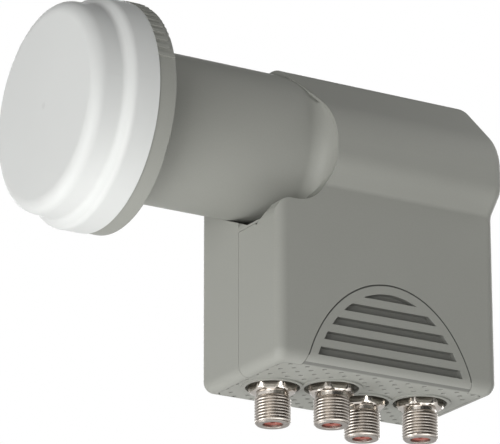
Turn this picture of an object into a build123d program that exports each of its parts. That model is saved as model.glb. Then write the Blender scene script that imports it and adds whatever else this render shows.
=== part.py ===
from build123d import *

import os
from math import cos, hypot, radians, sin, sqrt

# Satellite LNB with four F outputs, in millimetres.
# The neck's axis is Y and the cap is at -Y. The sockets point down, along -Z. The origin lies on the neck's
# axis, in the middle of the length that the dish's clamp holds.

# Neck, collar and clamp length
NECK_D = 40.0
NECK_LENGTH = 35.4
NECK_WALL = 2.0
COLLAR_D = 60.0
COLLAR_WIDTH = 5.1
COLLAR_BEVEL = 0.5
SPIGOT_WALL = 1.3
RIB_PITCH = 5.0
RIB_FIRST = 15.0
RIB_HEIGHT = 0.5
RIB_THICKNESS = 1.1
RIB_MARGIN = 1.5
END_RIB_MARGIN = 0.4

# Cap
CAP_OVERHANG = 0.3
CAP_SKIRT_WALL = 1.85
CAP_SKIRT_LENGTH = 7.0
CAP_STEP_LENGTH = 1.7
CAP_STEP_WIDTH = 2.3
CAP_NOSE_LENGTH = 8.3
CAP_NOSE_TAPER = 0.6
CAP_WALL = 1.6
CAP_FACE_RADIUS = 3.4
CAP_STEP_RADIUS = 1.8
O_RING_D = 1.5

# Body: the moulded box and its wider faceted top
WALL = 2.0
BOX_WIDTH = 39.8
BOX_LENGTH = 67.1
BOX_DEPTH = 63.2
TOP_RISE = 0.8
TOP_RADIUS = 11.0
FACET_RISE = 0.2
SHOULDER_REACH = 5.0
SHOULDER_RADIUS = 15.0
SHOULDER_DROP = 9.0
SHOULDER_TURN = 6.0
CREASE_DROP = 14.5
CREASE_RADIUS = 1.5
LONG_EDGE_RADIUS = 3.4
END_EDGE_RADIUS = 2.8

# Opening in the body's front that the neck comes out of
SHELF_SINK = 0.3
SHELF_RUN = 1.6
NOTCH_CORNER = 9.5
NOTCH_BOW = 35.0
NOTCH_BOW_START = 4.0
NOTCH_BOW_MIDDLE = 25.0
LIP_RADIUS = 4.0
REAR_FLARE = 5.0
POCKET_DEPTH = 8.0
POCKET_TURN = 22.5
POCKET_RIM = 0.6

# Seam between main housing and side cover
SEAM = 0.15
LAP_SKIN = 0.8
LAP_DEPTH = 3.0
APRON_DROP = 4.2
APRON_FLAT = 18.46
RELIEF_D = 1.2

# Base cover and its louvred tabs
BASE_MARGIN = 3.2
BASE_CORNER = 2.0
BASE_SEAM = 0.15
BASE_LIP = 1.2
BASE_LIP_WIDTH = 3.0
DOME_SHIFT = 0.35
DOME_END_MARGIN = 6.75
DOME_SINK = 11.8
DOME_RISE = 24.3
DOME_RIM = 2.4
SLOT_COUNT = 5
SLOT_HEIGHT = 2.25
SLOT_TOP_MARGIN = 3.2
SLOT_FOOT_MARGIN = 3.7
SLOT_DEPTH = 1.8

# F sockets
SOCKET_COUNT = 4
SOCKET_FIRST = 12.3
SOCKET_LAST = 13.88
SOCKET_OFFSET = 3.44
SOCKET_REACH = 10.3
THREAD_D = 9.525
THREAD_BEVEL = 0.5
NECKING_DEPTH = 0.46
NECKING_LENGTH = 1.2
HEX_WIDTH = 11.0
HEX_THICKNESS = 3.1
HEX_SINK = 0.4
SPIGOT_THREAD_D = 8.0
MOUTH_D = 5.3
MOUTH_DEPTH = 0.7
INSULATOR_HOLE_D = 1.3
CONTACT_D = 2.0
PIN_D = 0.8
SOLDER_LENGTH = 3.5
RECESS_GAP = 0.8
RECESS_LIP = 1.0
RECESS_LIP_HEIGHT = 0.4
GASKET_THICKNESS = 0.8

# Feed horn and waveguide
GUIDE_D = 19.2
GUIDE_WALL = 2.0
GUIDE_SETBACK = 46.3
HORN_FLOOR = 2.0
HORN_CLEARANCE = 0.3
CHOKE_COUNT = 3
CHOKE_WALL = 1.3
CHOKE_PITCH = 5.0
HORN_PROUD = 2.4
FOOT_SETBACK = 22.3
FOOT_LENGTH = 24.0
FOOT_WIDTH = 18.0
FOOT_HEIGHT = 2.6
FOOT_SCREW_EDGE = 3.3

# Chassis tray, lid and board
TRAY_WALL = 1.8
TRAY_LEFT_GAP = 2.55
TRAY_RIGHT_GAP = 1.15
TRAY_FRONT_GAP = 1.5
TRAY_BACK_GAP = 1.6
TRAY_TOP_GAP = 1.0
TRAY_CORNER = 3.0
TRAY_INNER_CORNER = 0.5
TRAY_BOTTOM_WALL = 3.0
BOSS_D = 6.0
LID_THICKNESS = 1.2
LID_GASKET = 0.6
BOARD_THICKNESS = 1.0
BOARD_GAP = 1.2
BOARD_POST_D = 5.0
BOARD_POST_DROP = 10.0
BOARD_INSET = 6.0
STOP_D = 5.0
STOP_GAP = 0.2

# Fasteners, pins and small parts
SCREW_D = 2.5
SCREW_HEAD_D = 4.4
SCREW_HEAD = 1.6
SCREW_GAP = 0.1
FIT = 0.05
BUSH_D = 3.4
BEND = 1.2
PROBE_SETBACK = 30.3
PROBE_PITCH = 8.0
PROBE_TIP = 3.0
ROD_D = 1.5
PUCK_D = 6.0
PUCK_HEIGHT = 2.2
PUCK_SPREAD = 18.0
TUNER_D = 4.0
CHIP_SIZE = 7.0
CHIP_HEIGHT = 1.0
REGULATOR_LENGTH = 6.5
REGULATOR_HEIGHT = 2.3

# Sizes and places that follow from those above
COLLAR_BACK = -NECK_LENGTH / 2
COLLAR_FRONT = COLLAR_BACK - COLLAR_WIDTH
FRONT = NECK_LENGTH / 2
BACK = FRONT + BOX_LENGTH
BOTTOM = -BOX_DEPTH
TOP_HEIGHT = NECK_D / 2 + TOP_RISE
FACET_DISTANCE = NECK_D / 2 + FACET_RISE
SHOULDER_WIDTH = NECK_D + 2 * SHOULDER_REACH
NOTCH_SHELF = NECK_D / 2 - SHELF_SINK
NOTCH_BACK = FRONT + LIP_RADIUS + SHELF_RUN + NOTCH_CORNER
APRON_BOTTOM = -NECK_D / 2 - APRON_DROP
APRON_RADIUS = hypot(APRON_FLAT / 2, APRON_BOTTOM)
CAP_SKIRT_D = COLLAR_D + 2 * CAP_OVERHANG
CAP_NOSE_D = CAP_SKIRT_D - 2 * CAP_STEP_WIDTH
CAP_FACE_D = CAP_NOSE_D - 2 * CAP_NOSE_TAPER
SPIGOT_D = CAP_SKIRT_D - 2 * CAP_SKIRT_WALL - 2 * SEAM
CUP_D = SPIGOT_D - 2 * SPIGOT_WALL
CAP_STEP = COLLAR_FRONT - CAP_SKIRT_LENGTH
SPIGOT_FRONT = CAP_STEP + O_RING_D - 2 * FIT
CAP_NOSE = CAP_STEP - CAP_STEP_LENGTH
CAP_FACE = CAP_NOSE - CAP_NOSE_LENGTH
CUP_FLOOR = COLLAR_BACK - WALL
HORN_BACK = CUP_FLOOR - O_RING_D - 2 * FIT
DOME_TOP = BOTTOM + DOME_RISE
SLOT_PITCH = (DOME_RISE - SLOT_TOP_MARGIN - SLOT_FOOT_MARGIN) / (SLOT_COUNT - 1)
SOCKET_PITCH = (BOX_LENGTH - SOCKET_FIRST - SOCKET_LAST) / (SOCKET_COUNT - 1)
RECESS_D = HEX_WIDTH / cos(radians(30)) + 2 * RECESS_GAP
HEX_BOTTOM = BOTTOM + HEX_SINK
HEX_TOP = HEX_BOTTOM + HEX_THICKNESS
GUIDE_END = FRONT + GUIDE_SETBACK
FOOT_START = FRONT + FOOT_SETBACK
FOOT_DROP = GUIDE_D / 2 + GUIDE_WALL + FOOT_HEIGHT
TAB_INSIDE = BOX_WIDTH / 2 - WALL - BASE_SEAM - BASE_LIP
TRAY_FLOOR = TAB_INSIDE - TRAY_LEFT_GAP
TRAY_RIM = TAB_INSIDE - TRAY_RIGHT_GAP - SCREW_HEAD - LID_THICKNESS - LID_GASKET
TRAY_TOP = WALL + TRAY_TOP_GAP - APRON_BOTTOM
TRAY_BOTTOM = HEX_TOP + GASKET_THICKNESS
TRAY_FRONT = FRONT + WALL + TRAY_FRONT_GAP
TRAY_BACK = BACK - WALL - TRAY_BACK_GAP
TRAY_LENGTH = TRAY_BACK - TRAY_FRONT
TRAY_HEIGHT = -TRAY_TOP - TRAY_BOTTOM
TRAY_MIDDLE = (TRAY_FRONT + TRAY_BACK) / 2
TRAY_CENTRE = (-TRAY_TOP + TRAY_BOTTOM) / 2
SOCKET_END = BOTTOM - SOCKET_REACH
FAR = 200.0


def peg_x(diameter, start, end, y, z):
    """A round bar along X."""
    bar = Rot(0, 90, 0) * Cylinder(diameter / 2, end - start)
    return Pos((start + end) / 2, y, z) * bar


def peg_y(diameter, start, end, x=0.0, z=0.0):
    """A round bar along Y."""
    bar = Rot(90, 0, 0) * Cylinder(diameter / 2, end - start)
    return Pos(x, (start + end) / 2, z) * bar


def peg_z(diameter, start, end, x, y):
    """A round bar along Z."""
    return Pos(x, y, (start + end) / 2) * Cylinder(diameter / 2, end - start)


def slab(x0, x1, y0, y1, z0, z1):
    """A block between two corners."""
    block = Box(x1 - x0, y1 - y0, z1 - z0)
    return Pos((x0 + x1) / 2, (y0 + y1) / 2, (z0 + z1) / 2) * block


def turned_y(*points, radii):
    """A ring turned about the neck's axis, from (radius, y) corners."""
    outline = FilletPolyline(*points, radius=radii, close=True)
    return revolve(make_face(outline), Axis.Y)


def side_plate(outline, x0, x1):
    """A plate from an outline drawn in Y and Z, between two X places."""
    return Pos(x0, 0, 0) * extrude(Plane.YZ * outline, x1 - x0)


def bent_pin(diameter, *points):
    """A round wire along straight runs joined by small bends."""
    path = FilletPolyline(*points, radius=[BEND] * (len(points) - 2))
    start = Plane(origin=path @ 0, z_dir=path % 0)
    return sweep(start * Circle(diameter / 2), path=path)


def screw(head_d, head, shank_d, shank):
    """A plain round-headed screw that points along -Z, with the head's underside at Z = 0."""
    crown = fillet(Cylinder(head_d / 2, head).edges().sort_by(Axis.Z)[-1], head / 2)
    return Pos(0, 0, head / 2) * crown + Pos(0, 0, -shank / 2) * Cylinder(shank_d / 2, shank)


def body_section(inset):
    """The body's cross-section, drawn in X and Z and shrunk by an inset."""
    half_box = BOX_WIDTH / 2
    half_top = SHOULDER_WIDTH / 2
    facet = FACET_DISTANCE * sqrt(2)
    right = [
        (facet - TOP_HEIGHT, TOP_HEIGHT),
        (half_top, facet - half_top),
        (half_top, -SHOULDER_DROP),
        (half_box, -CREASE_DROP),
        (half_box, BOTTOM),
    ]
    radii = [TOP_RADIUS, SHOULDER_RADIUS, SHOULDER_TURN, CREASE_RADIUS, LONG_EDGE_RADIUS]
    left = [(-x, z) for x, z in reversed(right)]
    outline = make_face(FilletPolyline(*right, *left, radius=radii + radii[::-1], close=True))
    return offset(outline, -inset, kind=Kind.INTERSECTION) if inset else outline


def body_core(inset):
    """The body as a solid with rounded ends, shrunk by an inset."""
    start = FRONT + inset
    length = BOX_LENGTH - 2 * inset
    block = Pos(0, start, 0) * extrude(Plane.XZ * body_section(inset), length, dir=(0, 1, 0))
    ends = block.faces().sort_by(Axis.Y)
    return fillet(ends[0].edges() + ends[-1].edges(), END_EDGE_RADIUS - inset)


def notch(grow):
    """What is cut out of the body's front round the neck, grown by some amount."""
    bow_centre = NOTCH_BACK - NOTCH_BOW
    above = TOP_HEIGHT + LIP_RADIUS
    reach = sqrt(NOTCH_BOW**2 - (above + NOTCH_BOW_START) ** 2)
    middle = radians(NOTCH_BOW_MIDDLE)
    lip_low = (FRONT, -NOTCH_SHELF - LIP_RADIUS)
    lip_high = (FRONT + LIP_RADIUS, -NOTCH_SHELF)
    lip_turn = LIP_RADIUS * (1 - sqrt(0.5))
    corner_turn = NOTCH_CORNER * (1 - sqrt(0.5))
    corner_low = (NOTCH_BACK - NOTCH_CORNER, -NOTCH_SHELF)
    corner_high = (NOTCH_BACK, -NOTCH_SHELF + NOTCH_CORNER)
    bow_low = (NOTCH_BACK, -NOTCH_BOW_START)
    bow_middle = (bow_centre + NOTCH_BOW * cos(middle), -NOTCH_BOW_START + NOTCH_BOW * sin(middle))
    bow_high = (bow_centre + reach, above)
    ahead = FRONT - NECK_LENGTH / 2
    edges = [
        ThreePointArc(lip_low, (FRONT + lip_turn, -NOTCH_SHELF - lip_turn), lip_high),
        Line(lip_high, corner_low),
        ThreePointArc(
            corner_low, (NOTCH_BACK - corner_turn, -NOTCH_SHELF + corner_turn), corner_high
        ),
        Line(corner_high, bow_low),
        ThreePointArc(bow_low, bow_middle, bow_high),
        Polyline(bow_high, (ahead, above), (ahead, lip_low[1]), lip_low),
    ]
    outline = make_face(edges)
    if grow:
        outline = offset(outline, grow, kind=Kind.ARC)
    return side_plate(outline, -FAR / 2, FAR / 2)


def main_zone(grow):
    """The space that the main housing takes at the seam, grown by some amount."""
    left = slab(-FAR, grow, -FAR, FAR, -FAR, FAR)
    apron_back = FRONT + POCKET_DEPTH + 2 * WALL
    apron = peg_y(2 * (APRON_RADIUS + grow), FRONT - LIP_RADIUS, apron_back)
    apron &= slab(-FAR, FAR, -FAR, FAR, APRON_BOTTOM - grow, FAR)
    return left + notch(grow) + apron


def dome(grow, rim=0.0):
    """The louvred tabs' outline, across the whole body."""
    half_length = BOX_LENGTH / 2 - DOME_END_MARGIN
    half_height = DOME_SINK + DOME_RISE
    outline = Ellipse(half_length + grow - rim, half_height + grow - rim)
    middle = Pos(FRONT + BOX_LENGTH / 2 + DOME_SHIFT, BOTTOM - DOME_SINK)
    return side_plate(middle * outline, -FAR / 2, FAR / 2)


def base_plate(margin, z0, z1):
    """A plate with rounded corners that stops short of the box's outline by a margin."""
    outline = RectangleRounded(BOX_WIDTH - 2 * margin, BOX_LENGTH - 2 * margin, BASE_CORNER)
    return Pos(0, FRONT + BOX_LENGTH / 2, z0) * extrude(outline, z1 - z0)


def base_opening():
    """What the base cover needs out of the two housing halves."""
    inside = BOTTOM + WALL
    floor = base_plate(BASE_MARGIN - BASE_SEAM, BOTTOM - WALL, inside + BASE_SEAM)
    groove = base_plate(WALL, inside, inside + 2 * BASE_LIP)
    return floor + groove + dome(BASE_SEAM)


def grip_ribs():
    """Ribs over the collar's upper arc, with a longer one at each end."""
    ribs = []
    count = round((180 - 2 * RIB_FIRST) / RIB_PITCH)
    for i in range(count + 1):
        margin = END_RIB_MARGIN if i in (0, count) else RIB_MARGIN
        rib = slab(
            COLLAR_D / 2 - RIB_HEIGHT,
            COLLAR_D / 2 + RIB_HEIGHT,
            COLLAR_FRONT,
            COLLAR_BACK - margin,
            -RIB_THICKNESS / 2,
            RIB_THICKNESS / 2,
        )
        ribs.append(Rot(0, -RIB_FIRST - i * RIB_PITCH, 0) * rib)
    return ribs


def collar_and_neck():
    """Collar cup, spigot for the cap, and the neck tube with the flare and the cheek at its root."""
    neck = NECK_D / 2
    cup = turned_y(
        (neck - NECK_WALL, COLLAR_BACK),
        (COLLAR_D / 2, COLLAR_BACK),
        (COLLAR_D / 2, COLLAR_FRONT),
        (SPIGOT_D / 2, COLLAR_FRONT),
        (SPIGOT_D / 2, SPIGOT_FRONT),
        (CUP_D / 2, SPIGOT_FRONT),
        (CUP_D / 2, CUP_FLOOR),
        (neck - NECK_WALL, CUP_FLOOR),
        radii=[0, COLLAR_BEVEL, 0, 0, 0, 0, 0, 0],
    )
    tube = peg_y(NECK_D, COLLAR_BACK, NOTCH_BACK)
    limits = extrude(Plane.XZ * body_section(LAP_SKIN + SEAM), FAR, both=True)
    return cup + grip_ribs() + tube + (rear_flare() & limits) + cheek()


def rear_flare():
    """A concave ring that turns from the neck's surface into the wall behind the notch."""
    neck = NECK_D / 2
    start = NOTCH_BACK - REAR_FLARE
    rim = (neck + REAR_FLARE, NOTCH_BACK)
    outline = [
        Line((neck - NECK_WALL, start), (neck, start)),
        RadiusArc((neck, start), rim, REAR_FLARE),
        Polyline(rim, (neck - NECK_WALL, NOTCH_BACK), (neck - NECK_WALL, start)),
    ]
    return revolve(make_face(outline), Axis.Y)


def pocket(grow):
    """Clearance under the neck and beside it in the body's front, grown by some amount.

    It starts at the neck's lower left, where its lower edge leaves the neck along a tangent.
    """
    neck = NECK_D / 2
    left = -neck * sin(radians(POCKET_TURN)) - grow
    low = APRON_BOTTOM + POCKET_RIM - grow
    bar = peg_y(2 * (APRON_RADIUS + grow), FRONT - LIP_RADIUS, FRONT + POCKET_DEPTH + grow)
    above_tangent = Rot(0, POCKET_TURN, 0) * slab(-FAR, FAR, -FAR, FAR, -neck - grow, FAR)
    return bar & above_tangent & slab(left, FAR, -FAR, FAR, low, FAR)


def cheek():
    """Filling beside the neck on the left, flush with the body's front."""
    block = slab(-BOX_WIDTH / 2, 0, FRONT, NOTCH_BACK, APRON_BOTTOM, 0)
    corner = block.edges().filter_by(Axis.Z).group_by(Axis.X)[0].sort_by(Axis.Y)[0]
    return fillet(corner, END_EDGE_RADIUS) - pocket(0)


def stops(x0, x1):
    """Two pegs on a housing half's inside that the tray bears on."""
    height = -TRAY_TOP - 2 * STOP_D
    return [peg_x(STOP_D, x0, x1, y, height) for y in (TRAY_FRONT + STOP_D, TRAY_BACK - STOP_D)]


def housings():
    """The main housing and the side cover, lapped along their seam."""
    body = body_core(0) - notch(0) - pocket(0)
    cavity = body_core(WALL) - notch(WALL) - pocket(WALL)
    shell = body - cavity
    leaf = shell & body_core(LAP_SKIN + SEAM)
    opening = base_opening()
    bore = peg_y(NECK_D - 2 * NECK_WALL, CUP_FLOOR - WALL, NOTCH_BACK + NECK_D)
    inside = BOX_WIDTH / 2 - WALL / 2
    main = (collar_and_neck() - body) + (shell & main_zone(0)) + (leaf & main_zone(LAP_DEPTH))
    main = main - bore - opening + stops(-inside, -TRAY_FLOOR - STOP_GAP)
    cover = shell - main_zone(SEAM)
    cover -= body_core(LAP_SKIN) & main_zone(LAP_DEPTH + SEAM)
    lid_face = TRAY_RIM + LID_GASKET + LID_THICKNESS
    relief = peg_y(RELIEF_D, FRONT - WALL, FRONT + WALL, APRON_FLAT / 2, APRON_BOTTOM)
    cover = cover - opening - relief + stops(lid_face + STOP_GAP, inside)
    return main, cover


def socket_places():
    """Number, X and Y of each socket, which stand in a zigzag."""
    for i in range(SOCKET_COUNT):
        side = 1 if i % 2 else -1
        yield i + 1, side * SOCKET_OFFSET, FRONT + SOCKET_FIRST + i * SOCKET_PITCH


def louvre_slots():
    """Blind slots in both tabs, cut short by an ellipse inside the tab's outline."""
    inside = dome(0, DOME_RIM)
    face = BOX_WIDTH / 2
    slots = []
    for i in range(SLOT_COUNT):
        middle = DOME_TOP - SLOT_TOP_MARGIN - i * SLOT_PITCH
        band = (middle - SLOT_HEIGHT / 2, middle + SLOT_HEIGHT / 2)
        slots.append(inside & slab(face - SLOT_DEPTH, face + WALL, FRONT, BACK, *band))
        slots.append(inside & slab(-face - WALL, -face + SLOT_DEPTH, FRONT, BACK, *band))
    return slots


def base_cover():
    """Bottom plate, louvred tabs and the inner lip that holds them in the housing."""
    floor = BOTTOM + WALL + BASE_SEAM
    outline = dome(0) + base_plate(BASE_MARGIN, BOTTOM - WALL, floor)
    cover = (body_core(0) - body_core(WALL)) & outline
    cover += base_plate(BASE_MARGIN, BOTTOM + WALL / 2, floor)
    lip = base_plate(WALL + BASE_SEAM, floor, floor + BASE_LIP)
    lip -= base_plate(WALL + BASE_LIP_WIDTH, floor - WALL, floor + WALL)
    cover += lip
    half = BOX_WIDTH / 2
    tab_top = DOME_TOP + WALL + BASE_LIP
    for side in (-1, 1):
        wall = sorted((side * TAB_INSIDE, side * (half - WALL / 2)))
        back = sorted((side * TAB_INSIDE, side * (TAB_INSIDE + BASE_LIP)))
        cover += dome(0) & slab(*wall, FRONT, BACK, floor, tab_top)
        cover += dome(BASE_LIP) & slab(*back, FRONT, BACK, floor, tab_top)
    rings = []
    holes = []
    for _, x, y in socket_places():
        rings.append(peg_z(RECESS_D + 2 * RECESS_LIP, BOTTOM - RECESS_LIP_HEIGHT, BOTTOM + WALL, x, y))
        holes.append(peg_z(RECESS_D, BOTTOM - WALL, floor + WALL, x, y))
    return cover + rings - holes - louvre_slots()


def feed_cap():
    """White cap: skirt, soft step and a rounded flat face, of one wall thickness."""
    skirt = CAP_SKIRT_D / 2
    nose = CAP_NOSE_D / 2
    face = CAP_FACE_D / 2
    inner = SPIGOT_D / 2 + SEAM
    outer_points = [
        (0, CAP_FACE),
        (face, CAP_FACE),
        (nose, CAP_NOSE),
        (skirt, CAP_STEP),
        (skirt, COLLAR_FRONT),
    ]
    inner_points = [
        (inner, COLLAR_FRONT),
        (inner, CAP_STEP),
        (nose - CAP_WALL, CAP_NOSE),
        (face - CAP_WALL, CAP_FACE + CAP_WALL),
        (0, CAP_FACE + CAP_WALL),
    ]
    radii = [0, CAP_FACE_RADIUS, CAP_STEP_RADIUS, CAP_STEP_RADIUS, 0]
    inner_radii = [0, 0, 0, CAP_FACE_RADIUS - CAP_WALL, 0]
    return turned_y(*outer_points, *inner_points, radii=radii + inner_radii)


def feed_horn():
    """Cast feed: choke rings in the collar's cup, waveguide tube with a closed end, and a foot."""
    bore = GUIDE_D / 2
    tube = bore + GUIDE_WALL
    rim = CUP_D / 2 - HORN_CLEARANCE
    floor = HORN_BACK - HORN_FLOOR
    mouth = SPIGOT_FRONT - HORN_PROUD
    horn = peg_y(2 * rim, floor, HORN_BACK)
    for i in range(CHOKE_COUNT):
        radius = rim - i * CHOKE_PITCH
        horn += peg_y(2 * radius, mouth, floor) - peg_y(2 * (radius - CHOKE_WALL), mouth, floor)
    end = GUIDE_END + GUIDE_WALL
    horn += peg_y(2 * tube, mouth, end)
    foot_end = FOOT_START + FOOT_LENGTH
    horn += slab(-FOOT_WIDTH / 2, FOOT_WIDTH / 2, FOOT_START, foot_end, -FOOT_DROP, 0)
    horn -= peg_y(GUIDE_D, mouth, GUIDE_END)
    horn -= bush_holes() + [rod_hole()]
    return horn - [
        peg_z(SCREW_D + 2 * SCREW_GAP, -FAR, -tube + SCREW_GAP, x, y) for x, y in foot_screw_places()
    ]


def foot_screw_places():
    """Where screws hold the feed's foot on the tray."""
    reach = FOOT_WIDTH / 2 - FOOT_SCREW_EDGE
    for x in (-reach, reach):
        for y in (FOOT_START + FOOT_SCREW_EDGE, FOOT_START + FOOT_LENGTH - FOOT_SCREW_EDGE):
            yield x, y


def pin_x():
    """How far a soldered pin's axis lies from the board's middle."""
    return BOARD_THICKNESS / 2 + PIN_D / 2 + FIT


def probe_places():
    """X and Y of the two probes: one on each face of the board."""
    first = FRONT + PROBE_SETBACK
    return [(pin_x(), first), (-pin_x(), first + PROBE_PITCH)]


def bush_holes():
    """Holes for both probe bushes, from inside the tray up into the waveguide."""
    return [peg_z(BUSH_D + 2 * FIT, -TRAY_TOP - FAR, 0, x, y) for x, y in probe_places()]


def rod_hole():
    """Hole across the waveguide for the isolation rod."""
    tube = GUIDE_D / 2 + GUIDE_WALL
    return peg_z(ROD_D + 2 * FIT, -tube, tube + WALL, 0, FRONT + PROBE_SETBACK + PROBE_PITCH / 2)


def tray_outline(margin):
    """The tray's outline in Y and Z, shrunk by a margin."""
    corner = max(TRAY_CORNER - margin, TRAY_INNER_CORNER)
    shape = RectangleRounded(TRAY_LENGTH - 2 * margin, TRAY_HEIGHT - 2 * margin, corner)
    return Pos(TRAY_MIDDLE, TRAY_CENTRE) * shape


def lid_screw_places():
    """Y and Z of the bosses in the tray's corners and long sides."""
    y_reach = TRAY_LENGTH / 2 - BOSS_D / 2
    z_reach = TRAY_HEIGHT / 2 - BOSS_D / 2
    for y in (-y_reach, 0, y_reach):
        for z in (-z_reach, z_reach):
            if y or z < 0:
                yield TRAY_MIDDLE + y, TRAY_CENTRE + z


def board_screw_places():
    """Y and Z of the posts that carry the board."""
    y_reach = TRAY_LENGTH / 2 - TRAY_WALL - BOARD_GAP - BOARD_INSET
    for y in (-y_reach, y_reach):
        yield TRAY_MIDDLE + y, -TRAY_TOP - BOARD_POST_DROP


def chassis():
    """Cast tray, open on the lid's side, with a saddle on top for the feed's foot."""
    tray = side_plate(tray_outline(0), -TRAY_FLOOR, TRAY_RIM)
    hollow = side_plate(tray_outline(TRAY_WALL), -TRAY_FLOOR + TRAY_WALL, TRAY_RIM + WALL)
    hollow -= slab(-FAR, FAR, -FAR, FAR, -FAR, TRAY_BOTTOM + TRAY_BOTTOM_WALL)
    foot_end = FOOT_START + FOOT_LENGTH
    saddle = slab(-FOOT_WIDTH / 2, FOOT_WIDTH / 2, FOOT_START, foot_end, -TRAY_TOP - TRAY_WALL, -FOOT_DROP)
    bosses = [peg_x(BOSS_D, -TRAY_FLOOR, TRAY_RIM, y, z) for y, z in lid_screw_places()]
    posts = [
        peg_x(BOARD_POST_D, -TRAY_FLOOR, -BOARD_THICKNESS / 2, y, z) for y, z in board_screw_places()
    ]
    holes = [peg_x(SCREW_D + 2 * SCREW_GAP, 0, FAR, y, z) for y, z in lid_screw_places()]
    holes += [peg_x(SCREW_D + 2 * SCREW_GAP, -TRAY_FLOOR / 2, 0, y, z) for y, z in board_screw_places()]
    holes += [
        peg_z(SCREW_D + 2 * SCREW_GAP, -TRAY_TOP - WALL, 0, x, y) for x, y in foot_screw_places()
    ]
    holes += [
        peg_z(SPIGOT_THREAD_D + 2 * FIT, TRAY_BOTTOM - WALL, TRAY_BOTTOM + 2 * TRAY_BOTTOM_WALL, x, y)
        for _, x, y in socket_places()
    ]
    holes += [
        peg_z(BUSH_D + 2 * FIT, -TRAY_TOP - 2 * TRAY_WALL, 0, x, y) for x, y in probe_places()
    ]
    casting = tray - hollow + saddle + (bosses[0] + bosses[1:]) + posts
    return casting - holes


def board():
    """Circuit board on edge in the tray's middle plane."""
    margin = TRAY_WALL + BOARD_GAP
    top = -TRAY_TOP - margin - SCREW_HEAD
    bottom = TRAY_BOTTOM + TRAY_BOTTOM_WALL + BOARD_GAP
    half = BOARD_THICKNESS / 2
    plate = slab(-half, half, TRAY_FRONT + margin, TRAY_BACK - margin, bottom, top)
    for y, z in lid_screw_places():
        plate -= peg_x(BOSS_D + 2 * BOARD_GAP, -half - WALL, half + WALL, y, z)
    for y, z in board_screw_places():
        plate -= peg_x(SCREW_D + 2 * SCREW_GAP, -half - WALL, half + WALL, y, z)
    return plate


def lid_parts():
    """Lid, its gasket and the screws that hold it."""
    seat = TRAY_RIM + LID_GASKET
    holes = [peg_x(SCREW_D + 2 * SCREW_GAP, TRAY_RIM - WALL, FAR, y, z) for y, z in lid_screw_places()]
    tuner_holes = [peg_x(TUNER_D + 2 * FIT, TRAY_RIM, FAR, y, z) for y, z in puck_places()]
    lid = side_plate(tray_outline(0), seat, seat + LID_THICKNESS) - holes - tuner_holes
    gasket = side_plate(tray_outline(0), TRAY_RIM, seat)
    gasket -= side_plate(tray_outline(TRAY_WALL), TRAY_RIM - WALL, seat + WALL)
    pads = [peg_x(BOSS_D, TRAY_RIM, seat, y, z) for y, z in lid_screw_places()]
    gasket = (gasket + pads) - holes
    one = Rot(0, 90, 0) * screw(SCREW_HEAD_D, SCREW_HEAD, SCREW_D, TRAY_RIM - SCREW_D)
    screws = [Pos(seat + LID_THICKNESS, y, z) * one for y, z in lid_screw_places()]
    return lid, gasket, screws


def puck_places():
    """Y and Z of the two oscillator pucks on the board."""
    for y in (-PUCK_SPREAD / 2, PUCK_SPREAD / 2):
        yield TRAY_MIDDLE + y, TRAY_CENTRE + PUCK_D / 2


def board_parts():
    """What stands on the board and the screws that hold it."""
    half = BOARD_THICKNESS / 2
    pucks = [peg_x(PUCK_D, half, half + PUCK_HEIGHT, y, z) for y, z in puck_places()]
    chip = slab(
        -half - CHIP_HEIGHT,
        -half,
        TRAY_MIDDLE - CHIP_SIZE / 2,
        TRAY_MIDDLE + CHIP_SIZE / 2,
        TRAY_CENTRE - CHIP_SIZE / 2,
        TRAY_CENTRE + CHIP_SIZE / 2,
    )
    regulators = []
    edge = REGULATOR_LENGTH / 2
    low = TRAY_CENTRE - edge
    high = TRAY_CENTRE + edge
    for post, _ in board_screw_places():
        y = (TRAY_MIDDLE + post) / 2
        regulators.append(slab(-half - REGULATOR_HEIGHT, -half, y - edge, y + edge, low, high))
    one = Rot(0, 90, 0) * screw(SCREW_HEAD_D, SCREW_HEAD, SCREW_D, TRAY_FLOOR / 2 - SCREW_D / 2)
    screws = [Pos(half, y, z) * one for y, z in board_screw_places()]
    lid_top = TRAY_RIM + LID_GASKET + LID_THICKNESS
    tuner_end = half + PUCK_HEIGHT + TUNER_D / 2
    tuners = [peg_x(TUNER_D, tuner_end, lid_top, y, z) for y, z in puck_places()]
    return pucks, chip, regulators, screws, tuners


def probes():
    """Straight probe and hooked probe with their bushes, and the rod between them."""
    board_top = -TRAY_TOP - TRAY_WALL - BOARD_GAP - SCREW_HEAD
    low = board_top - PUCK_D
    bush_low = -TRAY_TOP - TRAY_WALL
    bush_high = -GUIDE_D / 2
    (vx, vy), (hx, hy) = probe_places()
    vertical = peg_z(PIN_D, low, -PROBE_TIP, vx, vy)
    horizontal = bent_pin(PIN_D, (hx, hy, low), (hx, hy, -PROBE_TIP), (hx + GUIDE_D / 3, hy, -PROBE_TIP))
    bushes = [
        peg_z(BUSH_D, bush_low, bush_high, x, y) - peg_z(PIN_D + 2 * FIT, -FAR, FAR, x, y)
        for x, y in probe_places()
    ]
    tube = GUIDE_D / 2 + GUIDE_WALL
    rod = peg_z(ROD_D, -tube + FIT, tube - FIT, 0, vy + PROBE_PITCH / 2)
    return vertical, horizontal, bushes, rod


def foot_screws():
    """Screws from inside the tray into the feed's foot."""
    seat = -TRAY_TOP - TRAY_WALL
    reach = -GUIDE_D / 2 - GUIDE_WALL - seat - SCREW_GAP
    one = Rot(180, 0, 0) * screw(SCREW_HEAD_D, SCREW_HEAD, SCREW_D, reach)
    return [Pos(x, y, seat) * one for x, y in foot_screw_places()]


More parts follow.
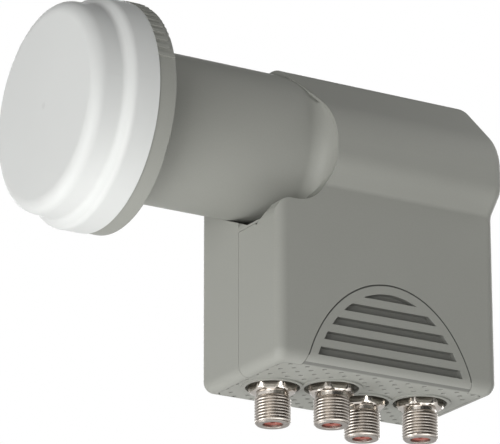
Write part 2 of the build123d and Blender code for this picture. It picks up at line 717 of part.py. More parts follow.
def socket(x, y):
    """One F socket: body with hex flange, insulator, centre contact and gasket."""
    barrel = peg_z(THREAD_D, SOCKET_END, HEX_BOTTOM, x, y)
    barrel = chamfer(barrel.edges().sort_by(Axis.Z)[0], THREAD_BEVEL)
    necking = peg_z(THREAD_D, HEX_BOTTOM - NECKING_LENGTH, HEX_BOTTOM, x, y)
    necking -= peg_z(THREAD_D - 2 * NECKING_DEPTH, HEX_BOTTOM - NECKING_LENGTH, HEX_BOTTOM, x, y)
    hexagon = extrude(RegularPolygon(HEX_WIDTH / 2, 6, major_radius=False), HEX_THICKNESS)
    spigot_end = TRAY_BOTTOM + TRAY_BOTTOM_WALL
    body = barrel - necking + Pos(x, y, HEX_BOTTOM) * hexagon
    body += peg_z(SPIGOT_THREAD_D, HEX_TOP, spigot_end, x, y)
    body -= peg_z(MOUTH_D, SOCKET_END - WALL, spigot_end + WALL, x, y)
    face = SOCKET_END + MOUTH_DEPTH
    core = peg_z(MOUTH_D - 2 * FIT, face, spigot_end, x, y)
    core -= peg_z(CONTACT_D + 2 * FIT, face + MOUTH_DEPTH, spigot_end + WALL, x, y)
    core -= peg_z(INSULATOR_HOLE_D, face - WALL, face + WALL, x, y)
    side = 1 if x > 0 else -1
    sleeve_end = spigot_end - MOUTH_DEPTH
    contact = peg_z(CONTACT_D, face + MOUTH_DEPTH + FIT, sleeve_end, x, y)
    contact -= peg_z(PIN_D, SOCKET_END, HEX_TOP, x, y)
    solder_x = side * pin_x()
    jog = spigot_end + BOARD_GAP + abs(x - solder_x)
    contact += bent_pin(
        PIN_D,
        (x, y, sleeve_end - MOUTH_DEPTH),
        (x, y, spigot_end + BOARD_GAP),
        (solder_x, y, jog),
        (solder_x, y, jog + SOLDER_LENGTH),
    )
    gasket = peg_z(HEX_WIDTH, HEX_TOP, TRAY_BOTTOM, x, y)
    gasket -= peg_z(SPIGOT_THREAD_D + 2 * FIT, HEX_TOP - WALL, TRAY_BOTTOM + WALL, x, y)
    return body, core, contact, gasket


def o_rings():
    """Seal between spigot and cap, and seal behind the feed."""
    tube = O_RING_D / 2
    cap_ring = Torus((SPIGOT_D - O_RING_D) / 2, tube)
    cap_ring = Pos(0, SPIGOT_FRONT - tube - FIT, 0) * Rot(90, 0, 0) * cap_ring
    horn_ring = Torus((CUP_D + NECK_D) / 4, tube)
    horn_ring = Pos(0, CUP_FLOOR - tube - FIT, 0) * Rot(90, 0, 0) * horn_ring
    return cap_ring, horn_ring


def write(name, shape):
    """Save one piece, or a group of like pieces."""
    solids = shape if isinstance(shape, list) else [shape]
    export_step(Compound(children=solids) if len(solids) > 1 else solids[0], f"parts/{name}.step")


def main():
    os.makedirs("parts", exist_ok=True)
    main_housing, side_cover = housings()
    cap_o_ring, horn_o_ring = o_rings()
    shield_lid, lid_gasket, lid_screws = lid_parts()
    pucks, switch_chip, regulators, board_screws, tuning_screws = board_parts()
    vertical_probe, horizontal_probe, bushes, isolation_rod = probes()
    pieces = {
        "feed_cap": feed_cap(),
        "cap_o_ring": cap_o_ring,
        "main_housing": main_housing,
        "side_cover": side_cover,
        "base_cover": base_cover(),
        "feed_horn": feed_horn(),
        "horn_o_ring": horn_o_ring,
        "chassis": chassis(),
        "horn_screws": foot_screws(),
        "rf_board": board(),
        "board_screws": board_screws,
        "low_band_resonator": pucks[0],
        "high_band_resonator": pucks[1],
        "switch_chip": switch_chip,
        "regulators": regulators,
        "vertical_probe": vertical_probe,
        "horizontal_probe": horizontal_probe,
        "vertical_bush": bushes[0],
        "horizontal_bush": bushes[1],
        "isolation_rod": isolation_rod,
        "shield_lid": shield_lid,
        "lid_gasket": lid_gasket,
        "lid_screws": lid_screws,
        "tuning_screws": tuning_screws,
    }
    for number, x, y in socket_places():
        body, core, contact, gasket = socket(x, y)
        pieces[f"connector_{number}"] = body
        pieces[f"insulator_{number}"] = core
        pieces[f"contact_{number}"] = contact
        pieces[f"gasket_{number}"] = gasket
    for name, shape in pieces.items():
        write(name, shape)


main()
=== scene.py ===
"""Looks for a satellite LNB with four F outputs.

It gives every piece its finish, winds threads on the sockets, presses dimples into the bottom plate,
closes the seam round the flare and sets a studio stage with the photograph's view.
"""

from math import ceil, cos, radians, sin, tau

import bmesh
import bpy
from bpy.props import FloatProperty, FloatVectorProperty, IntProperty, PointerProperty
from mathutils import Matrix, Vector
from mathutils.bvhtree import BVHTree


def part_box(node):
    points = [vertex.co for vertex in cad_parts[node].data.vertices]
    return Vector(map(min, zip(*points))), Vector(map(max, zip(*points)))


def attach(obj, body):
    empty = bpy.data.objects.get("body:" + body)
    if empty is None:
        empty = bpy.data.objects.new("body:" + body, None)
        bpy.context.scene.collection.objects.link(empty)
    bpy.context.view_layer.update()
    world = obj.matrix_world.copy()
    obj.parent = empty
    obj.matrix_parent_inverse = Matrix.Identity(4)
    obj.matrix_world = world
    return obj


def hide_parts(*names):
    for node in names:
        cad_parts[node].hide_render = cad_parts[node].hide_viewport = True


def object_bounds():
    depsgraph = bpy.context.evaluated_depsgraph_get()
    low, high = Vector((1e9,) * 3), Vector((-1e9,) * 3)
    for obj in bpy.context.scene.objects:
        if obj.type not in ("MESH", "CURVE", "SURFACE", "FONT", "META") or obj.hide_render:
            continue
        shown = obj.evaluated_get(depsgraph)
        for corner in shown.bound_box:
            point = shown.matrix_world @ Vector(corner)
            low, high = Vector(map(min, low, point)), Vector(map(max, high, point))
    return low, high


bl_info = {
    "name": "Satellite LNB looks",
    "version": (1, 0, 0),
    "blender": (4, 5, 0),
    "location": "3D View > Sidebar > LNB",
    "description": "Dresses the packed LNB with moulded, plated and cast finishes on a studio stage",
    "category": "Object",
}

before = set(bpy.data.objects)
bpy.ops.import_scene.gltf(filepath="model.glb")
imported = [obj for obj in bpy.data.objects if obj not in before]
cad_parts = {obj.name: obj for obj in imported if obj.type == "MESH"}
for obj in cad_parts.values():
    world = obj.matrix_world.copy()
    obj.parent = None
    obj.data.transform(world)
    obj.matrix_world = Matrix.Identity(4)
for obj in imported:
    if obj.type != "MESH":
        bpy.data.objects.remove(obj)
CAD_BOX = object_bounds()
MM = 0.001


def node_middle(node):
    """The middle of a CAD node's box."""
    low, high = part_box(node)
    return (low + high) / 2


def numbered(stem):
    """The names of the four sockets' nodes of one kind."""
    return [f"{stem}_{i}" for i in range(1, 5)]


# The photograph's camera
PHOTO_WIDTH = 500
CAMERA_FOCAL_PX = 3781.06
CAMERA_PLACE = (0.80019, -0.45491, -0.34091)
CAMERA_RIGHT = (0.5114, 0.8594, 0.0)
CAMERA_BACK = (0.8127, -0.4836, -0.3252)
CAMERA_ROLL = radians(-0.12)
SENSOR_WIDTH = 36.0
CLIP_NEAR = 0.05
CLIP_FAR = 50.0

# Places of CAD nodes
SOCKETS = numbered("connector")
SOCKET_PLACES = [node_middle(name) for name in SOCKETS]
SOCKET_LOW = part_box(SOCKETS[0])[0].z
PLATE_LOW, PLATE_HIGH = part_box("base_cover")
CAP_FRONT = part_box("feed_cap")[0].y

# Louvred domes on the base cover's sides: each is part of an ellipse, with painted shade in its slots and
# along its seam
DOME_MIDDLE_Y = (PLATE_LOW.y + PLATE_HIGH.y) / 2 + 0.35 * MM
DOME_MIDDLE_Z = PLATE_LOW.z - 11.4 * MM
DOME_HALF_LENGTH = 26.8 * MM
DOME_HALF_HEIGHT = 36.1 * MM
DOME_FOOT = PLATE_LOW.z + 2.5 * MM
DOME_SIDE = PLATE_HIGH.x - 1 * MM
DOME_SEAM = 0.22 * MM
SLOT_OUTSIDE = PLATE_HIGH.x - 0.3 * MM
SLOT_INSIDE = PLATE_HIGH.x / 2

# Dimples in the bottom plate
PLATE_FACE = PLATE_LOW.z + 0.4 * MM
DIMPLE_RIM = 0.02 * MM
BALL_SEGMENTS = 14
BALL_RINGS = 9

# Gate mark in the middle of the cap's face: its radii, and how far behind the face it may reach
GATE_CORE = 0.4 * MM
GATE_EDGE = 1.3 * MM
GATE_BEHIND = 0.5 * MM

# Socket bodies
MOUTH_DEPTH = 1.6 * MM
MOUTH_EDGE = 0.15 * MM
END_LAND = 0.3 * MM
RELIEF_CUT = 0.1 * MM
THREAD_LAP = 0.3 * MM
FLANGE_EDGE = 0.35 * MM
FLANGE_CORNER = 1.06

# Threads: the flanks' steepness, what is cut off for a flat root, and a share of a turn that keeps a row
# on a whole turn from being rounded to the turn before
FLANK_STEEPNESS = 1.35
FLANK_CUT = 0.15
PHASE_NUDGE = 1e-4

# Seam round the flare, between the housing's halves
SEAM_FROM = 26.0 * MM
SEAM_TO = 34.0 * MM
SEAM_REACH = 0.25 * MM

# Angles in degrees past which an edge is shaded sharp
SHELL_SHARP = 40
BASE_SHARP = 50
SOCKET_SHARP = 32

# Distances within which loose corners are joined
CAD_MERGE = 0.0005 * MM
THREAD_MERGE = 0.001 * MM

# Height of the fine grain on skins, and of the board's tracks
GRAIN_HEIGHT = 0.05 * MM
TRACK_HEIGHT = 0.03 * MM

# Colours of pieces inside
BRASS = (0.72, 0.56, 0.30)
ZINC = (0.60, 0.61, 0.62)
RUBBER = (0.024, 0.024, 0.025)
SOLDER_MASK = (0.018, 0.095, 0.045)
COPPER = (0.72, 0.50, 0.28)
CERAMIC = (0.70, 0.64, 0.54)
CHIP = (0.020, 0.020, 0.022)
BUSH = (0.80, 0.80, 0.78)

# Colours of marks: the cap's gate, and the painted shade and dirt in the threads' roots
GATE_GREY = (0.30, 0.30, 0.29)
THREAD_ROOT_SHADE_AND_DIRT = (0.10, 0.085, 0.07)

# Lamps: degrees from the front towards the right, degrees above level, distance and width
LAMPS = {
    "front_right": (30, -18, 0.7, 0.42),
    "right": (60, -18, 0.7, 0.42),
    "left_below": (-30, -45, 0.5, 0.30),
    "back_above": (180, 45, 0.7, 0.42),
    "back_below": (180, -70, 0.5, 0.30),
    "back_left": (210, 12, 0.8, 0.50),
    "left": (252, 28, 0.8, 0.50),
    "near_back": (149, 31, 0.2, 0.10),
    "near_below": (120, -45, 0.22, 0.12),
}

# Dark cards: first and last degrees from the front towards the right, and the height of the lower edge
CARDS = ((30, 63, 0.03), (63, 150, -0.21))
CARD_STEPS = 12

# How far the dark roof and the floor reach
ROOF_LEFT = 1.2
ROOF_NEAR = 0.1
ROOF_FAR = 1.2
FLOOR_REACH = 6.0

# Places of a colour Mix node's sockets
MIX_FACTOR = 0
MIX_FIRST = 6
MIX_SECOND = 7
MIX_RESULT = 2

# Stretch of a pattern that is the same along X, Y and Z
EVEN = (1, 1, 1)


class Wire:
    """A node's output that can stand in Python sums: each operator adds one node."""

    def __init__(self, sheet, socket):
        self.sheet = sheet
        self.socket = socket

    def _sum(self, operation, *values):
        return self.sheet.node("ShaderNodeMath", {"operation": operation}, values)

    def __add__(self, other):
        return self._sum("ADD", self, other)

    def __radd__(self, other):
        return self._sum("ADD", other, self)

    def __sub__(self, other):
        return self._sum("SUBTRACT", self, other)

    def __rsub__(self, other):
        return self._sum("SUBTRACT", other, self)

    def __mul__(self, other):
        return self._sum("MULTIPLY", self, other)

    def __rmul__(self, other):
        return self._sum("MULTIPLY", other, self)

    def __truediv__(self, other):
        return self._sum("DIVIDE", self, other)

    def __rtruediv__(self, other):
        return self._sum("DIVIDE", other, self)

    def __mod__(self, other):
        return self._sum("MODULO", self, other)

    def __rmod__(self, other):
        return self._sum("MODULO", other, self)

    def __pow__(self, other):
        return self._sum("POWER", self, other)

    def __rpow__(self, other):
        return self._sum("POWER", other, self)

    def __lt__(self, other):
        return self._sum("LESS_THAN", self, other)

    def __gt__(self, other):
        return self._sum("GREATER_THAN", self, other)

    def __abs__(self):
        return self._sum("ABSOLUTE", self)

    def root(self):
        return self._sum("SQRT", self)

    def floor(self):
        return self._sum("FLOOR", self)

    def fraction(self):
        return self._sum("FRACT", self)

    def sine(self):
        return self._sum("SINE", self)

    def cosine(self):
        return self._sum("COSINE", self)

    def least(self, other):
        return self._sum("MINIMUM", self, other)

    def most(self, other):
        return self._sum("MAXIMUM", self, other)

    def wrap(self, low, high):
        return self._sum("WRAP", self, high, low)

    def clamp(self, low, high):
        return self.sheet.node("ShaderNodeClamp", None, [self, low, high])

    def ramp(self, low, high):
        """Runs smoothly from 0 at low to 1 at high."""
        values = {"Value": self, "From Min": low, "From Max": high}
        return self.sheet.node("ShaderNodeMapRange", {"interpolation_type": "SMOOTHSTEP"}, values)


class Sheet:
    """A node tree that is written as Python expressions."""

    def __init__(self, tree):
        self.tree = tree

    def node(self, kind, settings=None, values=None, output=0):
        """Adds one node: its settings first, then a value or a wire for each socket, by place or by name."""
        made = self.tree.nodes.new(kind)
        for key, value in (settings or {}).items():
            setattr(made, key, value)
        pairs = values.items() if isinstance(values, dict) else enumerate(values or ())
        for key, value in pairs:
            socket = made.inputs[key]
            if isinstance(value, Wire):
                self.tree.links.new(value.socket, socket)
            elif socket.type == "RGBA":
                socket.default_value = (*value, 1.0)
            else:
                socket.default_value = value
        return Wire(self, made.outputs[output]) if made.outputs else made

    def vector(self, x, y, z):
        return self.node("ShaderNodeCombineXYZ", None, [x, y, z])

    def split(self, vector):
        """A vector's X, Y and Z as three wires."""
        parts = self.node("ShaderNodeSeparateXYZ", None, [vector])
        return [Wire(self, socket) for socket in parts.socket.node.outputs]


class Paint(Sheet):
    """A material's or world's node sheet."""

    def __init__(self, owner):
        owner.use_nodes = True
        super().__init__(owner.node_tree)
        self.owner = owner
        self.tree.nodes.clear()
        self._place = None

    def place(self):
        """The point being shaded, in the part's own frame."""
        if self._place is None:
            self._place = self.node("ShaderNodeTexCoord", output="Object")
        return self._place

    def axes(self):
        """The point's X, Y and Z as three wires."""
        return self.split(self.place())

    def noise(self, scale, detail=2.0, rough=0.5, stretch=EVEN):
        point = self.place()
        if stretch != EVEN:
            point = self.node("ShaderNodeMapping", None, {"Vector": point, "Scale": stretch})
        values = {"Vector": point, "Scale": scale, "Detail": detail, "Roughness": rough}
        return self.node("ShaderNodeTexNoise", None, values)

    def mix(self, factor, first, second):
        """Mixes two colours."""
        values = {MIX_FACTOR: factor, MIX_FIRST: first, MIX_SECOND: second}
        return self.node("ShaderNodeMix", {"data_type": "RGBA"}, values, MIX_RESULT)

    def bump(self, height, strength, distance=GRAIN_HEIGHT):
        values = {"Height": height, "Strength": strength, "Distance": distance}
        return self.node("ShaderNodeBump", None, values)

    def finish(self, colour, **values):
        """Ends the sheet in a Principled shader, with its sockets' names written with _ for a space."""
        named = {key.replace("_", " "): value for key, value in values.items()}
        shader = self.node("ShaderNodeBsdfPrincipled", None, {"Base Color": colour, **named})
        self.node("ShaderNodeOutputMaterial", None, {"Surface": shader})
        return self.owner


class Sprout(Sheet):
    """A Geometry Nodes tree with a named input for each of its sizes."""

    def __init__(self, name, sizes):
        super().__init__(bpy.data.node_groups.new(name, "GeometryNodeTree"))
        for side in ("INPUT", "OUTPUT"):
            self.tree.interface.new_socket("Geometry", in_out=side, socket_type="NodeSocketGeometry")
        self.inputs = []
        for label, value in sizes.items():
            kind = "NodeSocketInt" if isinstance(value, int) else "NodeSocketFloat"
            socket = self.tree.interface.new_socket(label, in_out="INPUT", socket_type=kind)
            socket.default_value = value
            self.inputs.append((socket.identifier, value))
        self.start = self.tree.nodes.new("NodeGroupInput")

    def given(self, name):
        """One of the tree's inputs."""
        return Wire(self, self.start.outputs[name])

    def join(self, *pieces):
        joined = self.node("GeometryNodeJoinGeometry")
        for piece in pieces:
            self.tree.links.new(piece.socket, joined.socket.node.inputs[0])
        return joined

    def end(self, geometry, material):
        """Ends the tree with its instances made real and its material set."""
        real = self.node("GeometryNodeRealizeInstances", None, {"Geometry": geometry})
        made = self.node("GeometryNodeSetMaterial", None, {"Geometry": real, "Material": material})
        self.node("NodeGroupOutput", None, [made])
        return self

    def plant(self, target):
        """Puts the tree on an object with its named sizes set, and bakes it."""
        modifier = target.modifiers.new(self.tree.name, "NODES")
        modifier.node_group = self.tree
        for identifier, value in self.inputs:
            modifier[identifier] = value
        return bake_modifiers(target)


def sheet_for(name):
    return Paint(bpy.data.materials.new(name))


def shade(colour, level):
    """A colour made darker or lighter."""
    return tuple(min(1.0, level * c) for c in colour)


def grey(level):
    return (level,) * 3


def coat(mesh, material):
    """Makes a material the only one of a mesh."""
    mesh.materials.clear()
    mesh.materials.append(material)


def dress(material, *nodes):
    """Puts one material on CAD nodes."""
    for name in nodes:
        coat(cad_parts[name].data, material)


def moulded_grey(name, colour, dimples=None):
    """Fine-grained moulded plastic, uneven in tone, with painted shade in the domes' seams and in dimples and
    slots.
    """
    s = sheet_for(name)
    tone = s.noise(55, detail=3.0)
    speck = s.noise(2600, detail=1.0)
    grain = s.noise(4200, rough=0.6)
    skin = s.mix(tone * 0.4 + speck * 0.6, shade(colour, 0.95), shade(colour, 1.05))
    if dimples:
        # painted shade in the bottom plate's dimples
        skin = s.mix(dimple_shade_mask(s, dimples) * 0.75, skin, shade(colour, 0.35))
        # painted shade in the domes' slots
        skin = s.mix(slot_shade_mask(s) * 0.8, skin, shade(colour, 0.45))
    # painted shade along the domes' seam
    skin = s.mix(dome_seam_shade_mask(s) * 0.85, skin, shade(colour, 0.16))
    rough = 0.46 + 0.12 * tone + 0.05 * grain
    return s.finish(skin, Roughness=rough, Specular_IOR_Level=0.3, Normal=s.bump(grain, 0.22))


def dimple_shade_mask(s, dimples):
    """1 deep in the bottom plate's dimples, where painted shade darkens them, 0 at their rims and further up
    than they reach.
    """
    above = s.axes()[2] - dimples.plate_z
    all_dark = 0.6 * dimples.depth
    past_reach = 1.5 * dimples.depth
    return above.ramp(DIMPLE_RIM, all_dark) * (above < past_reach)


def slot_shade_mask(s):
    """1 inside the slots of the louvred domes, behind the box's sides, where painted shade darkens them."""
    x, _, z = s.axes()
    return (abs(x) < SLOT_OUTSIDE) * (abs(x) > SLOT_INSIDE) * (z > DOME_FOOT)


def dome_seam_shade_mask(s):
    """1 along the elliptical seam between the base cover's domes and the housing's sides, where painted shade
    darkens the gap.
    """
    x, y, z = s.axes()
    along = (y - DOME_MIDDLE_Y) / DOME_HALF_LENGTH
    above = (z - DOME_MIDDLE_Z) / DOME_HALF_HEIGHT
    off = abs((along**2 + above**2).root() - 1) * DOME_HALF_LENGTH
    return (1 - off.ramp(DOME_SEAM / 2, DOME_SEAM)) * (abs(x) > DOME_SIDE) * (z > DOME_FOOT)


def white_cap_finish(colour):
    """Satin white moulding with the gate's mark on its face."""
    s = sheet_for("white_cap")
    x, y, z = s.axes()
    tone = s.noise(40, detail=3.0)
    grain = s.noise(3000)
    middle = node_middle("feed_cap")
    gate = ((x - middle.x) ** 2 + (z - middle.z) ** 2).root()
    mark = 1 - gate.ramp(GATE_CORE, GATE_EDGE)
    skin = s.mix(tone, shade(colour, 0.97), shade(colour, 1.02))
    skin = s.mix(mark * (y < CAP_FRONT + GATE_BEHIND) * 0.14, skin, GATE_GREY)
    rough = 0.40 + 0.10 * tone
    normal = s.bump(grain - mark * 6.0, 0.10)
    return s.finish(skin, Roughness=rough, Specular_IOR_Level=0.2, Normal=normal)


def nickel_finish(colour, sizes):
    """Nickel plate: bright and smoother on the thread's crests; in its roots painted shade and brown dirt
    darken it and it is duller.
    """
    s = sheet_for("nickel")
    x, y, z = s.axes()
    rings = [((x - place.x) ** 2 + (y - place.y) ** 2).root() for place in SOCKET_PLACES]
    away = rings[0]
    for ring in rings[1:]:
        away = away.least(ring)
    # root is 1 in the thread's roots, where painted shade and dirt go
    root = (1 - away.ramp(sizes.root, sizes.crest)) * (z < SOCKET_LOW + thread_length(sizes))
    stain = s.noise(420, detail=3.0)
    scratch = s.noise(900, rough=0.6, stretch=(1, 1, 6))
    plate = s.mix(stain, shade(colour, 0.85), colour)
    # painted shade and brown dirt in the thread's roots
    plate = s.mix(root * 0.5, plate, THREAD_ROOT_SHADE_AND_DIRT)
    rough = 0.16 + 0.08 * stain + 0.15 * root
    return s.finish(plate, Metallic=1.0, Roughness=rough, Normal=s.bump(scratch, 0.03))


def plain_moulding(name, colour, rough, scale=900):
    """Small moulded or cast piece with a fine uneven skin."""
    s = sheet_for(name)
    tone = s.noise(scale, detail=3.0)
    grain = s.noise(scale * 4)
    skin = s.mix(tone, shade(colour, 0.82), shade(colour, 1.12))
    return s.finish(skin, Roughness=rough + 0.12 * tone, Normal=s.bump(grain, 0.15))


def metal_finish(name, colour, rough, stretch=EVEN, scale=500):
    """Cast, turned or plated metal with fine marks."""
    s = sheet_for(name)
    tone = s.noise(scale, detail=4.0, rough=0.6, stretch=stretch)
    grain = s.noise(scale * 5)
    skin = s.mix(tone, shade(colour, 0.75), shade(colour, 1.1))
    return s.finish(skin, Metallic=1.0, Roughness=rough + 0.18 * tone, Normal=s.bump(grain, 0.2))


def board_finish(mask_colour, copper):
    """Circuit board: solder mask over tracks that show as paler lines, with bare pads."""
    s = sheet_for("rf_board")
    _, y, z = s.axes()
    lane_width = 1.6 * MM
    pad_step = 3.2 * MM
    lanes = (y / lane_width + s.noise(160, detail=1.0) * 2.0).wrap(0.0, 1.0)
    track = (lanes > 0.62) * (s.noise(90, detail=1.0) > 0.45)
    row = (z / pad_step).wrap(0.0, 1.0) - 0.5
    column = (y / pad_step).wrap(0.0, 1.0) - 0.5
    pad = ((row**2 + column**2).root() < 0.16) * (s.noise(260, detail=0.0) > 0.55)
    skin = s.mix(track * 0.5, mask_colour, shade(mask_colour, 2.2))
    skin = s.mix(pad, skin, copper)
    normal = s.bump(track, 0.3, TRACK_HEIGHT)
    return s.finish(skin, Metallic=pad, Roughness=0.42 - 0.12 * pad, Normal=normal)


def colour_setting(name, description, default):
    return FloatVectorProperty(
        name=name, description=description, default=default, subtype="COLOR", size=3, min=0, max=1
    )


def length_setting(name, description, default, low=0.0):
    return FloatProperty(
        name=name, description=description, default=default, unit="LENGTH", min=low, precision=6
    )


def power_setting(name, description, default):
    return FloatProperty(
        name=name, description=description, default=default, unit="POWER", min=0.0, precision=4
    )


class FinishSettings(bpy.types.PropertyGroup):
    """Colours of the parts' surfaces."""

    housing: colour_setting("Housing", "Grey of the two housing halves", (0.30, 0.303, 0.275))
    base: colour_setting("Base", "Grey of the base cover", (0.30, 0.303, 0.275))
    cap: colour_setting("Cap", "White of the feed cap", (0.66, 0.67, 0.655))
    nickel: colour_setting("Nickel", "Plating of the sockets", (0.60, 0.555, 0.505))
    insulator: colour_setting("Insulator", "Red-orange of the sockets' insulators", (0.30, 0.066, 0.044))
    casting: colour_setting("Casting", "Light metal of the feed and the tray", (0.66, 0.66, 0.67))


class DimpleSettings(bpy.types.PropertyGroup):
    """Staggered dimples in the bottom plate."""

    rows: IntProperty(name="Rows", description="Rows across the plate", default=14, min=2, max=60)
    columns: IntProperty(name="Columns", description="Dimples in a row", default=12, min=2, max=60)
    row_gap: length_setting("Row gap", "Distance between rows", 2.485 * MM)
    step: length_setting("Step", "Distance along a row", 5.06 * MM)
    start: length_setting("Start", "Place of the first dimple behind the plate's front edge", 1.2 * MM)
    across: length_setting("Across", "Width of a dimple", 1.5 * MM)
    depth: length_setting("Depth", "Depth of a dimple", 0.42 * MM, low=0.05 * MM)
    keep_clear: length_setting("Clear of sockets", "Bare ring round each socket's axis", 8.9 * MM)
    plate_z: length_setting("Plate height", "Height of the plate's lower face", PLATE_FACE, low=-1.0)


class ThreadSettings(bpy.types.PropertyGroup):
    """Sizes of the threaded sockets; the thread is the standard 3/8-32."""

    pitch: length_setting("Pitch", "Advance of one turn", 25.4 / 32 * MM, low=0.1 * MM)
    crest: length_setting("Crest radius", "Outer radius of the thread", 4.7625 * MM)
    root: length_setting("Root radius", "Inner radius of the thread", 4.30 * MM)
    mouth: length_setting("Mouth radius", "Radius of the hole that holds the insulator", 2.65 * MM)
    bevel: length_setting("Bevel", "Lead-in at the thread's end", 0.55 * MM)
    flange_width: length_setting("Flange", "Width across the flange's flats", 11 * MM)
    flange_height: length_setting("Flange height", "Thickness of the hexagonal flange", 5.5 * MM)
    flange_sink: length_setting("Flange place", "Height of the flange above the socket's end", 8.3 * MM)
    relief: length_setting("Relief", "Plain groove between thread and flange", 1.0 * MM)
    segments: IntProperty(name="Segments", description="Facets round the barrel", default=72, min=12, max=256)
    steps: IntProperty(name="Steps", description="Facets along one turn's advance", default=8, min=4, max=32)
    first_turn: FloatProperty(
        name="First turn", description="How far the first socket is screwed round",
        subtype="ANGLE", default=radians(24),
    )
    turn_step: FloatProperty(
        name="Turn step", description="How much further each next socket is screwed round",
        subtype="ANGLE", default=radians(25),
    )


class StageSettings(bpy.types.PropertyGroup):
    """Floor, cards and light."""

    floor_drop: length_setting("Floor", "Height of the floor", -0.62, low=-2.0)
    floor_glow: FloatProperty(
        name="Floor glow", description="How much paler the floor looks than its light makes it",
        default=0.45, min=0.0,
    )
    card_away: length_setting("Card distance", "Distance of the dark cards", 0.7, low=0.2)
    card_high: length_setting("Card high", "Height of the dark cards' upper edge", 0.6)
    roof_height: length_setting("Roof height", "Height of the dark roof", 0.45, low=0.2)
    ambient: FloatProperty(name="Ambient", description="Strength of the even light", default=0.2, min=0.0)
    front_right: power_setting("Front right", "Soft lamp in front, towards the right", 2.65)
    right: power_setting("Right", "Soft lamp on the right", 1.15)
    left_below: power_setting("Left below", "Soft lamp in front on the left, low down", 0.85)
    back_above: power_setting("Back above", "Soft lamp behind, high up", 0.7)
    back_below: power_setting("Back below", "Soft lamp behind, low down", 0.46)
    back_left: power_setting("Back left", "Soft lamp behind, on the left", 3.2)
    left: power_setting("Left", "Soft lamp on the left, raised", 3.2)
    near_back: power_setting("Near back", "Small lamp close behind on the right", 0.05)
    near_below: power_setting("Near below", "Small lamp close below on the right", 0.014)


def bake_modifiers(target):
    """Turns an object's evaluated result into its plain mesh."""
    bpy.context.view_layer.update()
    graph = bpy.context.evaluated_depsgraph_get()
    mesh = bpy.data.meshes.new_from_object(target.evaluated_get(graph), depsgraph=graph)
    target.modifiers.clear()
    target.data = mesh
    return mesh


def new_piece(name, mesh):
    piece = bpy.data.objects.new(name, mesh)
    bpy.context.scene.collection.objects.link(piece)
    return piece


def built_mesh(name, build):
    """A mesh from a finished bmesh, which is freed."""
    mesh = bpy.data.meshes.new(name)
    build.to_mesh(mesh)
    build.free()
    return mesh


def smooth_by_angle(mesh, angle):
    mesh.polygons.foreach_set("use_smooth", [True] * len(mesh.polygons))
    mesh.set_sharp_from_angle(angle=radians(angle))
    mesh.update()


def even_shading(piece, angle):
    """Shades a piece smoothly between edges sharper than an angle, with its flats kept flat."""
    smooth_by_angle(piece.data, angle)
    even = piece.modifiers.new("Even shading", "WEIGHTED_NORMAL")
    even.keep_sharp = True
    bake_modifiers(piece)


def merged_copy(node, name):
    """A copy of a CAD node's mesh with its loose triangles joined."""
    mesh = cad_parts[node].data.copy()
    mesh.name = name
    build = bmesh.new()
    build.from_mesh(mesh)
    bmesh.ops.remove_doubles(build, verts=build.verts, dist=CAD_MERGE)
    build.to_mesh(mesh)
    build.free()
    mesh.attributes.remove(mesh.attributes["custom_normal"])
    return mesh


def close_seam(mesh, neighbour, low, high, reach):
    """Brings the vertices between two places along Y that lie within reach of a neighbour up to its skin."""
    skin = bmesh.new()
    skin.from_mesh(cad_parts[neighbour].data)
    nearest = BVHTree.FromBMesh(skin)
    skin.free()
    for vertex in mesh.vertices:
        if low < vertex.co.y < high:
            place = nearest.find_nearest(vertex.co, reach)[0]
            if place:
                vertex.co = place
    mesh.update()


def thread_length(sizes):
    """How far the thread runs up from the socket's end."""
    return sizes.flange_sink - sizes.relief


def socket_body(sizes):
    """One socket without its thread, round the Z axis: end ring, mouth, relief and hexagonal flange."""
    low = SOCKET_LOW
    flange = low + sizes.flange_sink
    top = flange + sizes.flange_height
    flat = sizes.flange_width / 2
    end = sizes.crest - sizes.bevel
    corner = tau / 6
    turns = [i / sizes.segments * tau for i in range(sizes.segments)]
    hexagon = [flat / cos((turn + corner / 2) % corner - corner / 2) for turn in turns]
    bevelled = [min(radius, flat * FLANGE_CORNER) for radius in hexagon]

    def circle(radius):
        return [radius] * sizes.segments

    mouth_rings = [
        (circle(sizes.mouth), low + MOUTH_DEPTH),
        (circle(sizes.mouth), low + MOUTH_EDGE),
        (circle(sizes.mouth + MOUTH_EDGE), low),
        (circle(end), low),
        (circle(end), low + END_LAND),
    ]
    flange_rings = [
        (circle(sizes.root - RELIEF_CUT), flange - sizes.relief - THREAD_LAP),
        (circle(sizes.root), flange),
        (circle(flat - FLANGE_EDGE), flange),
        (bevelled, flange + FLANGE_EDGE),
        (hexagon, flange + 2 * FLANGE_EDGE),
        (hexagon, top),
        (circle(sizes.root), top),
    ]
    build = bmesh.new()
    for rings in (mouth_rings, flange_rings):
        previous = None
        for radii, z in rings:
            loop = [build.verts.new((r * cos(turn), r * sin(turn), z)) for r, turn in zip(radii, turns)]
            if previous:
                for i in range(sizes.segments):
                    j = (i + 1) % sizes.segments
                    build.faces.new((previous[i], previous[j], loop[j], loop[i]))
            previous = loop
    bmesh.ops.recalc_face_normals(build, faces=build.faces)
    return built_mesh("socket_body", build)


def socket_spots(tree, z):
    """Adds the four sockets' axes to a tree, as points on a zigzag line at one height."""
    first, second = SOCKET_PLACES[:2]
    line = {
        "Count": len(SOCKETS),
        "Start Location": (0.0, first.y, z),
        "Offset": (0.0, second.y - first.y, 0.0),
    }
    spots = tree.node("GeometryNodeMeshLine", None, line)
    side = tree.node("GeometryNodeInputIndex") % 2 * 2 - 1
    sway = tree.vector(side * second.x, 0.0, 0.0)
    return tree.node("GeometryNodeSetPosition", None, {"Geometry": spots, "Offset": sway})


